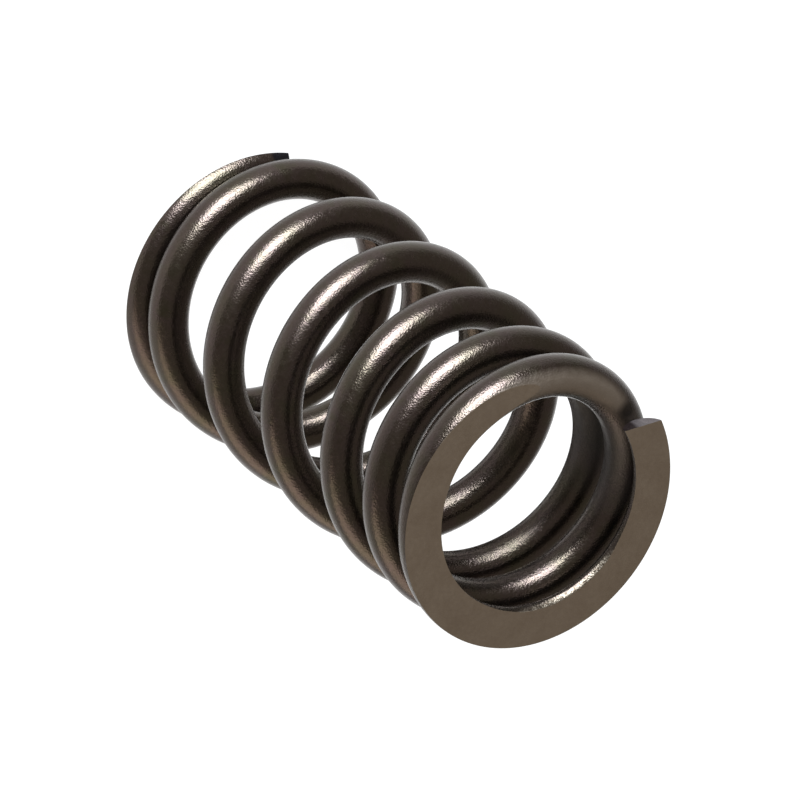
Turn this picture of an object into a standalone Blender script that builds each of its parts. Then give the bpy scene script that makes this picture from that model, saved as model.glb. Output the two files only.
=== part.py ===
"""Engine valve spring: a cold-wound compression spring of round wire with closed and ground ends.

The spring stands on its seat end. The coil axis is +Z, and the origin is on that axis in the plane of the
ground seat face. It is wound right-handed from the wire's seat tip at +X, two thirds of its turns stand
wide apart, the turns near the retainer end lie closer together, and the last turn of each end is closed
onto its neighbour and ground flat and square to the axis. The retainer end spreads a little, and its wire
was cut off on the skew.
"""
import math

import bmesh
import bpy
from mathutils import Vector

# Driving sizes in metres
WIRE_DIAMETER = 0.00385
MEAN_COIL_DIAMETER = 0.024
COIL_NARROWING = 0.0016
RETAINER_SPREAD = 0.00094
FREE_LENGTH = 0.0519
SEAT_CLOSED_GAP = 0.0001
NARROW_GAP = 0.00191
LIFT_GAP = 0.0045
RETAINER_CLOSED_GAP = 0.00006
SEAT_TIP_THICKNESS = 0.0007
RETAINER_TIP_THICKNESS = 0.00135

# How much further along the wire the retainer tip reaches on its inner side than on its outer side
TIP_SKEW = 0.0016

# Driving counts, in turns of the wire
SEAT_CLOSED_TURNS = 1.16
WIDE_TURNS = 3.45
NARROW_TURNS = 1.27
LIFT_TURNS = 0.22
RETAINER_CLOSED_TURNS = 0.76

# Turns over which one pitch eases into the next, and over which the retainer end spreads
SEAT_EASE = 0.6
MIDDLE_EASE = 1.0
LIFT_EASE = 0.2
RETAINER_EASE = 0.12
SPREAD_EASE = 0.6

# Fineness of the swept wire
STEPS_PER_TURN = 48
WIRE_BEVEL_RESOLUTION = 6

WIRE_RADIUS = WIRE_DIAMETER / 2.0
SEAT_COIL_DIAMETER = MEAN_COIL_DIAMETER + COIL_NARROWING / 2.0
RETAINER_COIL_DIAMETER = MEAN_COIL_DIAMETER - COIL_NARROWING / 2.0
WIDE_FROM = SEAT_CLOSED_TURNS
NARROW_FROM = WIDE_FROM + WIDE_TURNS
LIFT_FROM = NARROW_FROM + NARROW_TURNS
RETAINER_FROM = LIFT_FROM + LIFT_TURNS
TOTAL_TURNS = RETAINER_FROM + RETAINER_CLOSED_TURNS
SPREAD_AT = RETAINER_FROM + SPREAD_EASE / 2.0

SEAT_PITCH = WIRE_DIAMETER + SEAT_CLOSED_GAP
NARROW_PITCH = WIRE_DIAMETER + NARROW_GAP
LIFT_PITCH = WIRE_DIAMETER + LIFT_GAP

# Heights of the wire's centre at its two tips, so that grinding leaves the tip thicknesses
FIRST_CENTRE = SEAT_TIP_THICKNESS - WIRE_RADIUS
LAST_CENTRE = FREE_LENGTH + WIRE_RADIUS - RETAINER_TIP_THICKNESS


def eased(turn, start, width):
    """Smooth change from 0 to 1 around a turn number."""
    share = (turn - start) / width + 0.5
    share = min(max(share, 0.0), 1.0)
    return share * share * (3.0 - 2.0 * share)


def turns_past(turn, start, width):
    """Turns covered beyond a smooth change: the change from 0 to 1, summed along the wire."""
    share = (turn - start) / width + 0.5
    share = min(max(share, 0.0), 1.0)
    return width * share ** 3 * (1.0 - share / 2.0) + max(turn - start - width / 2.0, 0.0)


def stretches(turn):
    """How many turns of each stretch lie below a turn number: seat, wide, narrow, lift, retainer."""
    wide = turns_past(turn, WIDE_FROM, SEAT_EASE)
    narrow = turns_past(turn, NARROW_FROM, MIDDLE_EASE)
    lift = turns_past(turn, LIFT_FROM, LIFT_EASE)
    retainer = turns_past(turn, RETAINER_FROM, RETAINER_EASE)
    return turn - wide, wide - narrow, narrow - lift, lift - retainer, retainer


def pitches():
    """Rise per turn of each stretch.

    The seat, narrow and lift stretches have their own. The wide and the retainer stretch take the two that
    bring the last tip to its height and leave it just clear of the turn that it closes onto.
    """
    total = stretches(TOTAL_TURNS)
    last = [above - below for above, below in zip(total, stretches(TOTAL_TURNS - 1.0))]
    known = (SEAT_PITCH, 0.0, NARROW_PITCH, LIFT_PITCH, 0.0)
    rise_left = LAST_CENTRE - FIRST_CENTRE - sum(pitch * turns for pitch, turns in zip(known, total))
    close_left = WIRE_DIAMETER + RETAINER_CLOSED_GAP - sum(pitch * turns for pitch, turns in zip(known, last))
    area = total[1] * last[4] - last[1] * total[4]
    wide = (rise_left * last[4] - close_left * total[4]) / area
    retainer = (close_left * total[1] - rise_left * last[1]) / area
    return SEAT_PITCH, wide, NARROW_PITCH, LIFT_PITCH, retainer


def coil_point(turn, rises):
    """Centre of the wire at a turn number, on a coil that narrows evenly and spreads again at its end."""
    angle = 2.0 * math.pi * turn
    diameter = SEAT_COIL_DIAMETER + (RETAINER_COIL_DIAMETER - SEAT_COIL_DIAMETER) * turn / TOTAL_TURNS
    diameter += RETAINER_SPREAD * eased(turn, SPREAD_AT, SPREAD_EASE)
    height = FIRST_CENTRE + sum(pitch * turns for pitch, turns in zip(rises, stretches(turn)))
    return Vector((diameter / 2.0 * math.cos(angle), diameter / 2.0 * math.sin(angle), height))


def coil_points():
    """Centre points of the wire, evenly spaced from tip to tip."""
    count = math.ceil(TOTAL_TURNS * STEPS_PER_TURN)
    rises = pitches()
    return [coil_point(TOTAL_TURNS * i / count, rises) for i in range(count + 1)]


def skewed_tip(work, points):
    """Slants the flat end at the last point, with its inner side further along the wire."""
    centre = points[-1]
    along = (centre - points[-2]).normalized()
    outward = Vector((centre.x, centre.y, 0.0)).normalized()
    near = [vert for vert in work.verts if (vert.co - centre).length < WIRE_RADIUS * 1.05]
    reach = max((vert.co - centre).dot(along) for vert in near)
    for vert in near:
        if (vert.co - centre).dot(along) > reach - WIRE_RADIUS * 0.1:
            vert.co -= along * TIP_SKEW * (vert.co - centre).dot(outward) / WIRE_DIAMETER


def swept_wire(name, points):
    """Round wire along the points, with both ends closed, as a mesh object."""
    curve = bpy.data.curves.new(name + "_path", "CURVE")
    curve.dimensions = "3D"
    curve.bevel_depth = WIRE_RADIUS
    curve.bevel_resolution = WIRE_BEVEL_RESOLUTION
    curve.use_fill_caps = True
    spline = curve.splines.new("POLY")
    spline.points.add(len(points) - 1)
    for spline_point, point in zip(spline.points, points):
        spline_point.co = (point.x, point.y, point.z, 1.0)
    path = bpy.data.objects.new(name + "_path", curve)
    bpy.context.collection.objects.link(path)
    bpy.context.view_layer.update()
    mesh = bpy.data.meshes.new_from_object(path.evaluated_get(bpy.context.evaluated_depsgraph_get()))
    bpy.data.objects.remove(path)
    mesh.name = name
    work = bmesh.new()
    work.from_mesh(mesh)
    bmesh.ops.remove_doubles(work, verts=work.verts, dist=WIRE_DIAMETER * 1e-4)
    skewed_tip(work, points)
    bmesh.ops.recalc_face_normals(work, faces=work.faces)
    work.to_mesh(mesh)
    work.free()
    wire = bpy.data.objects.new(name, mesh)
    bpy.context.collection.objects.link(wire)
    return wire


def grinding_block(name, face_height, side):
    """Block that stands for what grinding takes off one end: side -1 lies below its face, +1 above."""
    depth = 2.0 * WIRE_DIAMETER
    width = 2.0 * (max(SEAT_COIL_DIAMETER, RETAINER_COIL_DIAMETER + RETAINER_SPREAD) + 2.0 * WIRE_DIAMETER)
    mesh = bpy.data.meshes.new(name)
    work = bmesh.new()
    bmesh.ops.create_cube(work, size=1.0)
    bmesh.ops.scale(work, vec=(width, width, depth), verts=work.verts)
    work.to_mesh(mesh)
    work.free()
    block = bpy.data.objects.new(name, mesh)
    block.location = (0.0, 0.0, face_height + side * depth / 2.0)
    block.hide_render = True
    block.display_type = "WIRE"
    bpy.context.collection.objects.link(block)
    return block


def ground_off(target, block):
    """Cuts one end flat with its grinding block."""
    cut = target.modifiers.new(block.name, "BOOLEAN")
    cut.operation = "DIFFERENCE"
    cut.solver = "EXACT"
    cut.object = block


def tempered_steel():
    """Oil-tempered and shot-peened spring steel, dark bronze brown."""
    material = bpy.data.materials.new("tempered_spring_steel")
    material.use_nodes = True
    shader = material.node_tree.nodes["Principled BSDF"]
    shader.inputs["Base Color"].default_value = (0.105, 0.082, 0.062, 1.0)
    shader.inputs["Metallic"].default_value = 0.9
    shader.inputs["Roughness"].default_value = 0.38
    material.diffuse_color = (0.105, 0.082, 0.062, 1.0)
    return material


for old in list(bpy.data.objects):
    bpy.data.objects.remove(old)

spring = swept_wire("valve_spring", coil_points())
spring.data.materials.append(tempered_steel())
spring.data.shade_smooth()
spring.data.set_sharp_from_angle(angle=math.radians(40.0))
ground_off(spring, grinding_block("seat_grinding", 0.0, -1.0))
ground_off(spring, grinding_block("retainer_grinding", FREE_LENGTH, 1.0))
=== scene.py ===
"""Engine valve spring of tempered and shot-peened steel wire, standing on a pale studio floor.

The wire is swept and its ends are ground by the same values as the solid, only finer. It gets the finish
of the real one: dark bronze oil-tempered wire, matte ground faces and the sheared ends of the wire.
"""
import math

import bmesh
import bpy
from mathutils import Matrix, Vector


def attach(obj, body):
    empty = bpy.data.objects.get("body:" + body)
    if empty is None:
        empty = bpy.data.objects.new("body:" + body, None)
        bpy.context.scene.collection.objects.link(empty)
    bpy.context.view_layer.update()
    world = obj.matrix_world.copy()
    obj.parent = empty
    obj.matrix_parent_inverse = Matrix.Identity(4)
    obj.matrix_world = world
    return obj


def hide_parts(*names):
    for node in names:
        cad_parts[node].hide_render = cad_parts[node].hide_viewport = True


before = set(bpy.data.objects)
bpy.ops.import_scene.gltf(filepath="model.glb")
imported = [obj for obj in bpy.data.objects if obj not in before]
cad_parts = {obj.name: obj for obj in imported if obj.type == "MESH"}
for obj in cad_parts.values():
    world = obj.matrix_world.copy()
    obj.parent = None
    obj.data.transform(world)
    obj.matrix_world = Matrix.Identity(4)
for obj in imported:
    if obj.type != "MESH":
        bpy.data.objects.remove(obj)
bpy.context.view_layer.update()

# Sizes of the spring in metres, as the solid has them
WIRE_RADIUS = 0.00385 / 2.0
MEAN_COIL_RADIUS = 0.024 / 2.0
COIL_NARROWING = 0.0016 / 2.0
RETAINER_SPREAD = 0.00094 / 2.0
FREE_LENGTH = 0.0519
SEAT_PITCH = 0.00395
WIDE_PITCH = 0.011009124
NARROW_PITCH = 0.00576
LIFT_PITCH = 0.00835
RETAINER_PITCH = 0.002610949
SEAT_TIP_THICKNESS = 0.0007
TIP_SKEW = 0.0016

# Turn numbers at which one pitch gives way to the next, and how many turns that takes
WIDE_FROM, SEAT_EASE = 1.16, 0.6
NARROW_FROM, MIDDLE_EASE = 4.61, 1.0
LIFT_FROM, LIFT_EASE = 5.88, 0.2
RETAINER_FROM, RETAINER_EASE = 6.10, 0.12
SPREAD_AT, SPREAD_EASE = 6.40, 0.6
TOTAL_TURNS = 6.86

# Two stretches where the wire leaves its even course: the turn number and ease at the start, those at the
# end, how far the wire lies inward there and how far up
STRAYS = (
    ((5.45, 0.30), (5.80, 0.20), 0.00015, -0.00030),
    ((6.22, 0.16), (6.44, 0.16), 0.00015, 0.00035),
)

# Fineness of the wire's mesh, the rings swept at a time, and the distance within which points are one
STEPS_PER_TURN = 168
WIRE_SEGMENTS = 48
RINGS_AT_A_TIME = 72
MERGED_WITHIN = 2e-6

# Turns over which the rings slant into the skewed tip, and a short step that gives the wire's direction
SLANT_TURNS = 0.08
SHORT_STEP = 0.001

# The edge that grinding leaves, broken by a hair, and the depth and width of its worn inner side
EDGE_BREAK = 0.00004
WORN_DEPTH = 0.00052
WORN_WIDTH = 0.00046

# Where in the last turn that wear sets in and where it fades, each with its ease, and the share that fades
WEAR_FROM, WEAR_EASE = 0.51, 0.13
WEAR_UNTIL, WEAR_FADE = 0.68, 0.07
WEAR_LOST = 0.7

# Faces that meet at more than this keep a crisp edge
CRISP_ANGLE = math.radians(50.0)

# Slots of the materials of the ground faces and the tips, after the wire's own
GROUND_SLOT, TIP_SLOT = 1, 2

# Dark patches: painted shade in the cleft beside the retainer tip, a near-black seat tip, and painted shade
# inside the turns under the cleft
CLEFT = (0.0087, -0.0083, 0.0507)
SEAT_TIP = (0.0137, 0.0006, 0.0002)
UNDER_TIP = (0.0040, -0.0098, 0.0455)

# Depths of the bumps in the wire's skin
DENT_DEPTH = 0.000016
GRAIN_DEPTH = 0.000008

# The floor lies a hair under the spring, so no two faces share a plane
FLOOR_HEIGHT = -0.00005
FLOOR_REACH = 2.0


# Camera at the photograph's place
def studio_camera():
    """Long lens above the retainer end, rolled so that the coil runs from upper left to lower right.

    Gives back its three axes.
    """
    data = bpy.data.cameras.new("studio_camera")
    data.sensor_width = 36.0
    data.lens = 224.81
    data.clip_start = 0.01
    data.clip_end = 20.0
    camera = bpy.data.objects.new("studio_camera", data)
    right = Vector((0.2112178, -0.8417222, 0.4968810))
    up = Vector((0.9205610, 0.0004251, -0.3905985))
    back = Vector((0.3285642, 0.5399107, 0.7749465))
    turn = Matrix((right, up, back)).transposed().to_4x4()
    camera.matrix_world = Matrix.Translation((0.151289, 0.248763, 0.384592)) @ turn
    bpy.context.collection.objects.link(camera)
    bpy.context.scene.camera = camera
    return right, up, back


camera_right, camera_up, camera_back = studio_camera()
bpy.context.scene.view_settings.view_transform = "Standard"


# Course of the wire
def eased(turn, start, width):
    """Smooth change from 0 to 1 around a turn number."""
    share = min(max((turn - start) / width + 0.5, 0.0), 1.0)
    return share * share * (3.0 - 2.0 * share)


def turns_past(turn, start, width):
    """Turns covered beyond a smooth change: the change from 0 to 1, summed along the wire."""
    share = min(max((turn - start) / width + 0.5, 0.0), 1.0)
    return width * share ** 3 * (1.0 - share / 2.0) + max(turn - start - width / 2.0, 0.0)


def wire_centre(turn):
    """Centre of the wire at a turn number."""
    wide = turns_past(turn, WIDE_FROM, SEAT_EASE)
    narrow = turns_past(turn, NARROW_FROM, MIDDLE_EASE)
    lift = turns_past(turn, LIFT_FROM, LIFT_EASE)
    retainer = turns_past(turn, RETAINER_FROM, RETAINER_EASE)
    height = SEAT_TIP_THICKNESS - WIRE_RADIUS + SEAT_PITCH * (turn - wide) + WIDE_PITCH * (wide - narrow)
    height += NARROW_PITCH * (narrow - lift) + LIFT_PITCH * (lift - retainer) + RETAINER_PITCH * retainer
    radius = MEAN_COIL_RADIUS + COIL_NARROWING * (0.5 - turn / TOTAL_TURNS)
    radius += RETAINER_SPREAD * eased(turn, SPREAD_AT, SPREAD_EASE)
    for start, end, inward, lift in STRAYS:
        share = eased(turn, *start) - eased(turn, *end)
        radius -= inward * share
        height += lift * share
    angle = 2.0 * math.pi * turn
    return Vector((radius * math.cos(angle), radius * math.sin(angle), height))


def stations():
    """A matrix for each ring: it sets a flat circle square to the wire, with its X axis out of the coil."""
    count = math.ceil(TOTAL_TURNS * STEPS_PER_TURN)
    places = []
    for i in range(count + 1):
        turn = TOTAL_TURNS * i / count
        centre = wire_centre(turn)
        tangent = (wire_centre(turn + SHORT_STEP) - wire_centre(turn - SHORT_STEP)).normalized()
        outward = Vector((centre.x, centre.y, 0.0)).normalized()
        outward = (outward - outward.dot(tangent) * tangent).normalized()
        side = tangent.cross(outward)
        slant = max(1.0 - (TOTAL_TURNS - turn) / SLANT_TURNS, 0.0) * TIP_SKEW / (2.0 * WIRE_RADIUS)
        turned = Matrix((outward - slant * tangent, side, tangent)).transposed().to_4x4()
        places.append(Matrix.Translation(centre) @ turned)
    return places


# Wire, swept ring by ring
def swept_length(places):
    """One length of wire: a circle extruded from station to station, open at both ends."""
    work = bmesh.new()
    circle = bmesh.ops.create_circle(work, cap_ends=False, segments=WIRE_SEGMENTS, radius=WIRE_RADIUS,
                                     matrix=places[0])
    ring = list({edge for vert in circle["verts"] for edge in vert.link_edges})
    for before, after in zip(places, places[1:]):
        grown = bmesh.ops.extrude_edge_only(work, edges=ring)["geom"]
        verts = [part for part in grown if isinstance(part, bmesh.types.BMVert)]
        bmesh.ops.transform(work, matrix=after @ before.inverted(), verts=verts)
        ring = [part for part in grown if isinstance(part, bmesh.types.BMEdge) and part.is_boundary]
    mesh = bpy.data.meshes.new("length_of_wire")
    work.to_mesh(mesh)
    work.free()
    return mesh


def swept_wire(work, places):
    """Joins the lengths of wire end to end, closes both tips and gives back the two tip faces."""
    for start in range(0, len(places) - 1, RINGS_AT_A_TIME):
        mesh = swept_length(places[start:start + RINGS_AT_A_TIME + 1])
        work.from_mesh(mesh)
        bpy.data.meshes.remove(mesh)
    bmesh.ops.remove_doubles(work, verts=work.verts, dist=MERGED_WITHIN)
    open_edges = [edge for edge in work.edges if edge.is_boundary]
    tips = []
    for place in (places[0], places[-1]):
        centre = place.to_translation()
        rim = [edge for edge in open_edges if (edge.verts[0].co - centre).length < 2.0 * WIRE_RADIUS]
        tips += bmesh.ops.contextual_create(work, geom=rim)["faces"]
    return tips


def edge_wear(place, height):
    """How far a ground edge is worn round, 0 to 1: only inside the last half turn of the retainer end."""
    turned = math.atan2(place.y, place.x) / (2.0 * math.pi) % 1.0
    if height < FREE_LENGTH / 2.0 or place.to_2d().length > wire_centre(turned + 6.0).to_2d().length:
        return 0.0
    ragged = 0.90 + 0.06 * math.sin(turned * 390.0) + 0.05 * math.sin(turned * 930.0 + 1.0)
    left = 1.0 - WEAR_LOST * eased(turned, WEAR_UNTIL, WEAR_FADE)
    return ragged * eased(turned, WEAR_FROM, WEAR_EASE) * left


def ground_flat(work, height, side, worn):
    """Grinds one end square to the axis: side -1 is the seat end, +1 the retainer end.

    The sharp edge is broken, and where it is worn the wire just under the face gives way to the inner side.
    """
    normal = Vector((0.0, 0.0, side))
    for depth in (WORN_DEPTH, 0.7 * WORN_DEPTH, 0.4 * WORN_DEPTH, EDGE_BREAK, 0.0):
        everything = work.verts[:] + work.edges[:] + work.faces[:]
        plane = (0.0, 0.0, height - side * depth)
        cut = bmesh.ops.bisect_plane(work, geom=everything, dist=1e-8, plane_co=plane, plane_no=normal,
                                     clear_outer=depth == 0.0)["geom_cut"]
    for vert in work.verts:
        near = 1.0 - side * (height - vert.co.z) / WORN_DEPTH
        if near > 0.0:
            wear = edge_wear(vert.co, height)
            outward = Vector((vert.co.x, vert.co.y, 0.0)).normalized()
            vert.co += WORN_WIDTH * wear * near ** 1.3 * outward
            vert[worn] = max(vert[worn], wear * min(near * 1.6, 1.0))
    rim = [part for part in cut if isinstance(part, bmesh.types.BMEdge)]
    faces = bmesh.ops.contextual_create(work, geom=rim)["faces"]
    edge_verts = list({vert for edge in rim for vert in edge.verts})
    whole = list(faces)
    for _ in range(2):
        whole += bmesh.ops.inset_region(work, faces=faces, thickness=EDGE_BREAK, depth=0.0,
                                        use_boundary=True, use_even_offset=False)["faces"]
    for face in whole:
        face.material_index = GROUND_SLOT
        face.smooth = True
    bmesh.ops.smooth_vert(work, verts=edge_verts, factor=0.5, use_axis_x=True, use_axis_y=True,
                          use_axis_z=True)
    for face in faces:
        for vert in face.verts:
            vert[worn] = 0.0


def spring_piece(materials):
    """The whole spring as one piece, with its materials by slot."""
    work = bmesh.new()
    worn = work.verts.layers.float.new("worn")
    tips = swept_wire(work, stations())
    for face in work.faces:
        face.smooth = True
    for face in tips:
        face.material_index = TIP_SLOT
    ground_flat(work, 0.0, -1.0, worn)
    ground_flat(work, FREE_LENGTH, 1.0, worn)
    bmesh.ops.remove_doubles(work, verts=work.verts, dist=MERGED_WITHIN)
    bmesh.ops.recalc_face_normals(work, faces=work.faces)
    mesh = bpy.data.meshes.new("spring_wire")
    work.to_mesh(mesh)
    work.free()
    for material in materials:
        mesh.materials.append(material)
    mesh.set_sharp_from_angle(angle=CRISP_ANGLE)
    piece = bpy.data.objects.new("spring_wire", mesh)
    bpy.context.collection.objects.link(piece)
    return piece


# Finishes
class Finish:
    """Short way to place and link the nodes of one material."""

    def __init__(self, name):
        self.material = bpy.data.materials.new(name)
        self.material.use_nodes = True
        self.tree = self.material.node_tree
        self.shader = self.tree.nodes["Principled BSDF"]
        self.coords = self.tree.nodes.new("ShaderNodeTexCoord").outputs["Object"]

    def node(self, kind, inputs=None, **settings):
        made = self.tree.nodes.new(kind)
        for key, value in settings.items():
            setattr(made, key, value)
        for key, value in (inputs or {}).items():
            if isinstance(value, bpy.types.NodeSocket):
                self.tree.links.new(value, made.inputs[key])
            else:
                made.inputs[key].default_value = value
        return made

    def noise(self, scale, detail=2.0, roughness=0.5, vector=None):
        return self.node("ShaderNodeTexNoise", {
            "Vector": vector or self.coords, "Scale": scale, "Detail": detail,
            "Roughness": roughness}).outputs["Fac"]

    def cells(self, scale, smoothness):
        return self.node("ShaderNodeTexVoronoi", {
            "Vector": self.coords, "Scale": scale, "Smoothness": smoothness},
            feature="SMOOTH_F1").outputs["Distance"]

    def spread(self, value, low, high, to_low=0.0, to_high=1.0):
        return self.node("ShaderNodeMapRange", {
            "Value": value, "From Min": low, "From Max": high, "To Min": to_low,
            "To Max": to_high}).outputs["Result"]

    def times(self, first, second):
        return self.node("ShaderNodeMath", {0: first, 1: second}, operation="MULTIPLY").outputs["Value"]

    def plus(self, first, second):
        return self.node("ShaderNodeMath", {0: first, 1: second}, operation="ADD").outputs["Value"]

    def near(self, place, inner, outer, most=1.0):
        """Mask that fades out between two distances from a place."""
        away = self.node("ShaderNodeVectorMath", {0: self.coords, 1: place}, operation="DISTANCE")
        return self.spread(away.outputs["Value"], inner, outer, most, 0.0)

    def ramp(self, value, stops):
        made = self.node("ShaderNodeValToRGB", {"Fac": value})
        ends = made.color_ramp.elements
        while len(ends) < len(stops):
            ends.new(0.5)
        for stop, (place, colour) in zip(ends, stops):
            stop.position = place
            stop.color = (*colour, 1.0)
        return made.outputs["Color"]

    def mixed(self, factor, first, second):
        made = self.node("ShaderNodeMix", data_type="RGBA")
        for key, value in ((0, factor), (6, first), (7, second)):
            if isinstance(value, bpy.types.NodeSocket):
                self.tree.links.new(value, made.inputs[key])
            elif key == 0:
                made.inputs[key].default_value = value
            else:
                made.inputs[key].default_value = (*value, 1.0)
        return made.outputs[2]

    def bumped(self, height, distance, normal=None):
        inputs = {"Height": height, "Distance": distance, "Strength": 1.0}
        if normal is not None:
            inputs["Normal"] = normal
        return self.node("ShaderNodeBump", inputs).outputs["Normal"]

    def set(self, **values):
        for key, value in values.items():
            socket = self.shader.inputs[key.replace("_", " ")]
            if isinstance(value, bpy.types.NodeSocket):
                self.tree.links.new(value, socket)
            elif isinstance(value, tuple):
                socket.default_value = (*value, 1.0)
            else:
                socket.default_value = value


def peened(finish):
    """Skin of small overlapping dents, under a finer grain."""
    dents = finish.bumped(finish.cells(5800.0, smoothness=0.25), DENT_DEPTH)
    return finish.bumped(finish.noise(9500.0, detail=2.0, roughness=0.6), GRAIN_DEPTH, normal=dents)


def tempered_wire():
    """Oil-tempered, shot-peened wire: dark bronze with faint purple and olive tints and a peened skin.

    Near the retainer end its upper side is rubbed grey-brown. The cleft at the tip is painted near-black as
    shade,
    the seat tip is coloured near-black blue-grey, and the inner side of the turns under the tip gets painted
    shade:
    dark, matte and less metallic.
    """
    skin = Finish("tempered_wire")
    patches = skin.noise(240.0, detail=4.0, roughness=0.6)
    tint = skin.ramp(patches, [(0.30, (0.061, 0.054, 0.037)), (0.44, (0.069, 0.055, 0.043)),
                               (0.58, (0.072, 0.053, 0.048)), (0.72, (0.058, 0.050, 0.034))])
    grain = skin.noise(4200.0, detail=3.0, roughness=0.6)
    colour = skin.mixed(skin.spread(grain, 0.35, 0.65, 0.0, 0.5), tint, (0.044, 0.035, 0.026))
    apart = skin.node("ShaderNodeSeparateXYZ", {"Vector": skin.coords}).outputs["Z"]
    facing = skin.node("ShaderNodeSeparateXYZ", {
        "Vector": skin.node("ShaderNodeNewGeometry").outputs["Normal"]}).outputs["Z"]
    rubbed = skin.times(skin.spread(apart, 0.0503, 0.0508), skin.spread(facing, 0.66, 0.96))
    colour = skin.mixed(rubbed, colour, (0.226, 0.186, 0.150))
    wear = skin.node("ShaderNodeAttribute", attribute_name="worn").outputs["Fac"]
    flecks = skin.mixed(skin.spread(grain, 0.44, 0.54), (0.046, 0.035, 0.025), (0.140, 0.117, 0.092))
    colour = skin.mixed(skin.spread(wear, 0.40, 0.80), colour, flecks)
    # Painted shade: the cleft beside the retainer tip is coloured near-black.
    colour = skin.mixed(skin.near(CLEFT, 0.0005, 0.0014, 0.82), colour, (0.008, 0.006, 0.005))
    # The wire around the seat tip is coloured near-black blue-grey.
    colour = skin.mixed(skin.near(SEAT_TIP, 0.0010, 0.0013, 0.85), colour, (0.022, 0.023, 0.033))
    # Painted shade: inside the turns under the tip the wire is darkened, made matte and less metallic.
    painted_shade_inside = skin.near(UNDER_TIP, 0.0025, 0.0075, 0.70)
    colour = skin.mixed(painted_shade_inside, colour, (0.014, 0.012, 0.011))
    skin.set(Base_Color=colour, Metallic=skin.spread(painted_shade_inside, 0.0, 1.0, 0.98, 0.40))
    rough = skin.spread(skin.noise(1800.0, detail=3.0), 0.3, 0.7, 0.20, 0.29)
    rough = skin.plus(rough, skin.spread(rubbed, 0.0, 1.0, 0.0, 0.30))
    rough = skin.plus(rough, skin.spread(painted_shade_inside, 0.0, 1.0, 0.0, 0.35))
    skin.set(Roughness=skin.plus(rough, skin.spread(wear, 0.1, 0.6, 0.0, 0.10)))
    skin.set(Normal=peened(skin))
    return skin.material


def ground_face():
    """Matte face left by the grinding wheel: brown-grey with faint marks, flecked where the edge is worn."""
    face = Finish("ground_face")
    patches = face.noise(420.0, detail=4.0, roughness=0.6)
    bare = face.ramp(patches, [(0.3, (0.181, 0.136, 0.097)), (0.7, (0.205, 0.158, 0.115))])
    grain = face.noise(5200.0, detail=3.0, roughness=0.65)
    bare = face.mixed(face.spread(grain, 0.35, 0.65, 0.0, 0.14), bare, (0.125, 0.092, 0.066))
    wear = face.node("ShaderNodeAttribute", attribute_name="worn").outputs["Fac"]
    edge = face.mixed(face.spread(grain, 0.42, 0.56), (0.064, 0.047, 0.034), (0.300, 0.250, 0.195))
    bare = face.mixed(face.spread(wear, 0.05, 0.75, 0.0, 0.9), bare, edge)
    face.set(Base_Color=bare, Metallic=0.85)
    face.set(Roughness=face.spread(face.noise(2500.0), 0.3, 0.7, 0.50, 0.60))
    stretched = face.node("ShaderNodeMapping", {"Vector": face.coords, "Scale": (1.0, 0.06, 1.0),
                                                "Rotation": (0.0, 0.0, 0.5)}).outputs["Vector"]
    marks = face.bumped(face.noise(9000.0, detail=3.0, vector=stretched), 0.000005)
    face.set(Normal=face.bumped(grain, 0.000012, normal=marks))
    return face.material


def sheared_tip():
    """Cut end of the wire: its inner part painted near-black as shade, its outer part smoother and pale
    mauve.
    """
    tip = Finish("sheared_tip")
    flat = tip.node("ShaderNodeVectorMath", {0: tip.coords, 1: (1.0, 1.0, 0.0)}, operation="MULTIPLY")
    out = tip.node("ShaderNodeVectorMath", {0: flat.outputs[0]}, operation="LENGTH").outputs["Value"]
    patches = tip.noise(1800.0, detail=4.0, roughness=0.65)
    smooth = tip.ramp(patches, [(0.3, (0.046, 0.037, 0.037)), (0.7, (0.088, 0.072, 0.071))])
    # Painted shade: the inner part of each cut end is coloured near-black.
    painted_shade_inner = tip.ramp(patches, [(0.3, (0.007, 0.003, 0.003)), (0.7, (0.016, 0.009, 0.008))])
    cut = tip.spread(out, 0.01150, 0.01185)
    tip.set(Base_Color=tip.mixed(cut, painted_shade_inner, smooth), Metallic=0.7, Roughness=0.48)
    tip.set(Normal=tip.bumped(tip.noise(4200.0, detail=4.0, roughness=0.7), 0.00003))
    return tip.material


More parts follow.
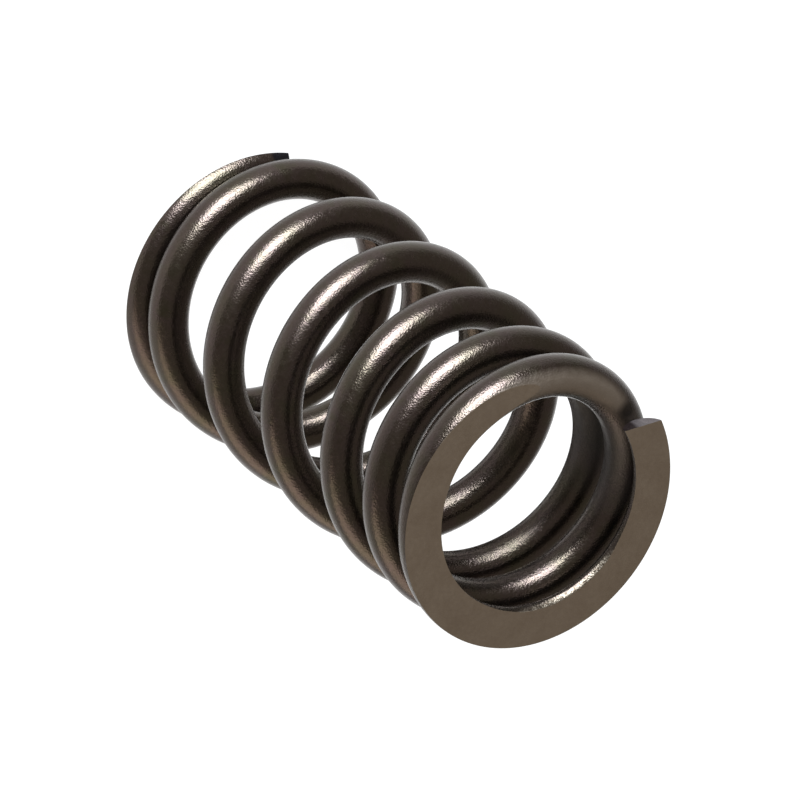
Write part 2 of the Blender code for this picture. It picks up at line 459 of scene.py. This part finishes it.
def studio_floor():
    """Pale matte floor that glows like a lit white table, brighter in a painted pool of light around the
    spring.
    """
    work = bmesh.new()
    bmesh.ops.create_grid(work, x_segments=8, y_segments=8, size=FLOOR_REACH,
                          matrix=Matrix.Translation((0.0, 0.0, FLOOR_HEIGHT)))
    mesh = bpy.data.meshes.new("studio_floor")
    work.to_mesh(mesh)
    work.free()
    floor = bpy.data.objects.new("studio_floor", mesh)
    bpy.context.collection.objects.link(floor)
    pale = Finish("pale_floor")
    shade = pale.ramp(pale.noise(9.0, detail=2.0), [(0.3, (0.12, 0.12, 0.12)), (0.7, (0.13, 0.13, 0.13))])
    pale.set(Base_Color=shade, Roughness=0.9, Emission_Color=(1.0, 1.0, 1.0))
    # Painted light: the glow is brightest in a round pool around the spring and fades outward to an even
    # glow.
    glow = pale.plus(pale.near((-0.012, -0.018, 0.0), 0.062, 0.18, 0.54), 0.43)
    pale.set(Emission_Strength=glow)
    mesh.materials.append(pale.material)


# Light
MIDDLE = Vector((0.0, 0.0, FREE_LENGTH / 2.0))


def softbox(name, aim, distance, width, height, radiance, colour):
    """Rectangular soft light that faces the middle of the spring.

    The direction toward it is given in camera axes: right, up and back.
    """
    toward = (aim[0] * camera_right + aim[1] * camera_up + aim[2] * camera_back).normalized()
    across = (camera_right - camera_right.dot(toward) * toward).normalized()
    data = bpy.data.lights.new(name, "AREA")
    data.shape = "RECTANGLE"
    data.size = width
    data.size_y = height
    data.energy = radiance * width * height * math.pi
    data.color = colour
    light = bpy.data.objects.new(name, data)
    turn = Matrix((across, toward.cross(across), toward)).transposed().to_4x4()
    light.matrix_world = Matrix.Translation(MIDDLE + distance * toward) @ turn
    bpy.context.collection.objects.link(light)


def studio_light():
    """One large key from above the camera, a weaker panel low on the left, and a dim even room."""
    softbox("key_softbox", (0.024, 0.688, 0.725), 0.6, 0.41, 0.35, 29.0, (0.90, 1.00, 1.10))
    softbox("low_panel", (-0.492, -0.853, -0.174), 0.6, 0.80, 0.80, 2.1, (1.09, 1.00, 0.88))
    world = bpy.data.worlds.new("studio_room")
    world.use_nodes = True
    room = world.node_tree.nodes["Background"]
    room.inputs["Color"].default_value = (1.0, 0.92, 0.82, 1.0)
    room.inputs["Strength"].default_value = 0.36
    bpy.context.scene.world = world


spring = spring_piece([tempered_wire(), ground_face(), sheared_tip()])
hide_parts("valve_spring")
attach(spring, "root")
studio_floor()
studio_light()
